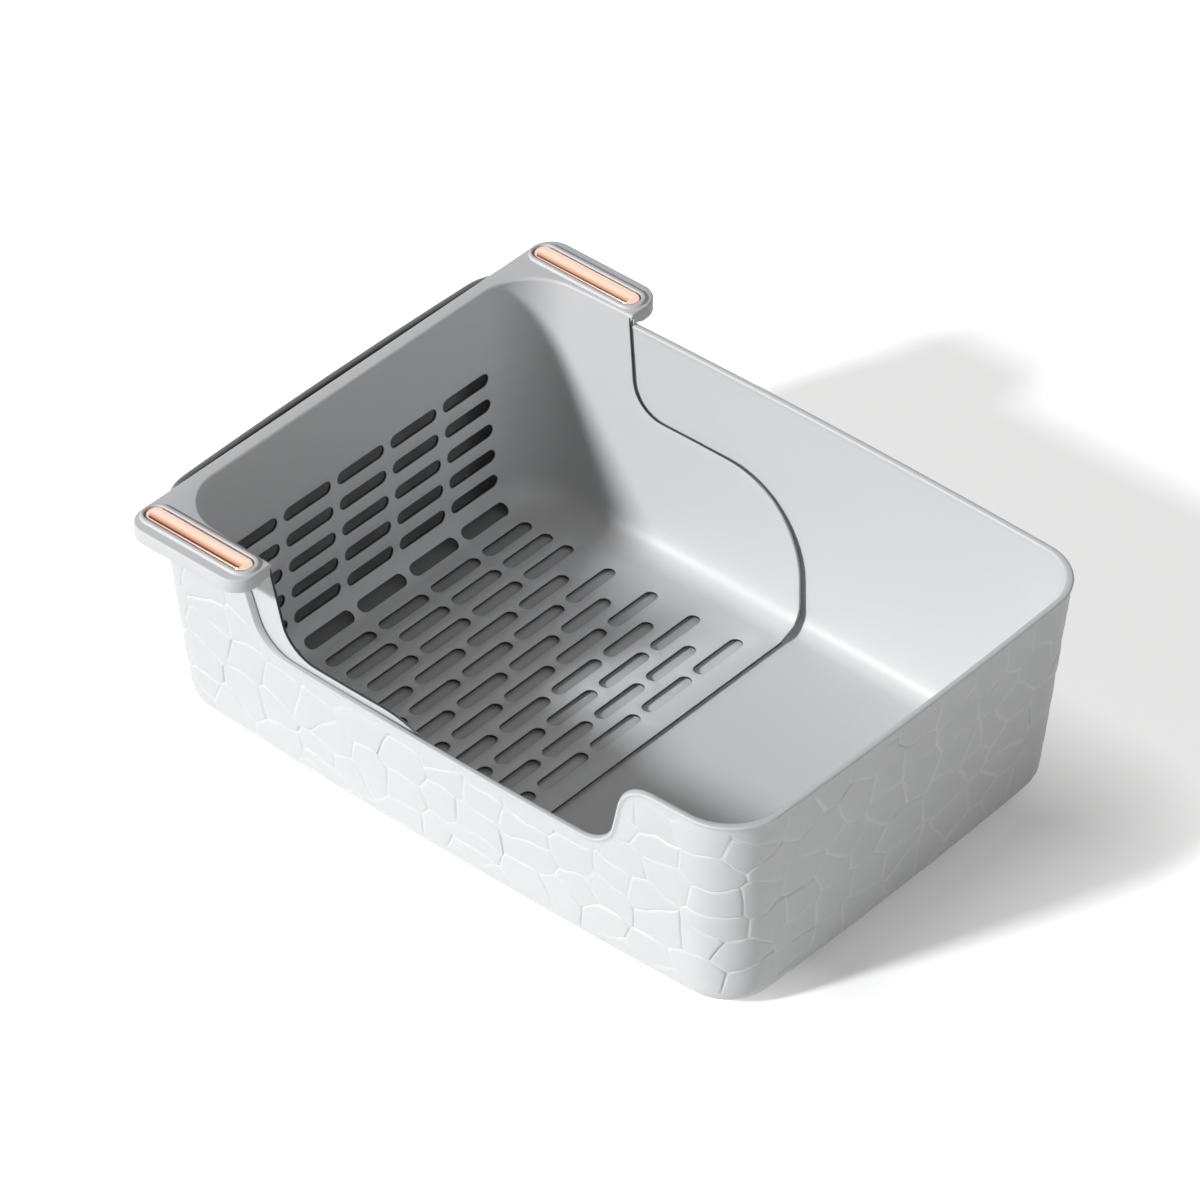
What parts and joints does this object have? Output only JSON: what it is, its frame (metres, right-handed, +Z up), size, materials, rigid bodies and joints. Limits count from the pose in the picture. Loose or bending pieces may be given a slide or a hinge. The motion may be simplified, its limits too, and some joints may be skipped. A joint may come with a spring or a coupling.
{
  "type": "sifting litter box",
  "caption": "Open cat litter pan with a low front entry and stone-like relief outside, and a slotted sifting tray that lifts out by grips with metal bars.",
  "frame": {"origin": "on the floor, below the middle of the pan", "axes": "+X along the pan away from the tray's grips, +Y from the low entry to the back, +Z up"},
  "size_m": [0.536, 0.429, 0.189],
  "materials": {
    "pan_plastic": "satin, pale warm grey",
    "tray_plastic": "satin, pale warm grey",
    "rose_metal": "polished rose gold",
    "pad_rubber": "matt grey"
  },
  "bodies": {
    "pan": {"litter_pan": "pan_plastic", "front_left_pad": "pad_rubber", "front_right_pad": "pad_rubber", "back_left_pad": "pad_rubber", "back_right_pad": "pad_rubber"},
    "sifter": {"sifting_tray": "tray_plastic", "front_grip_bar": "rose_metal", "back_grip_bar": "rose_metal"}
  },
  "joints": [
    {"name": "sifter_lift", "type": "slide", "parent": "pan", "child": "sifter", "axis": [0, 0, 1], "range_m": [0, 0.19]}
  ]
}
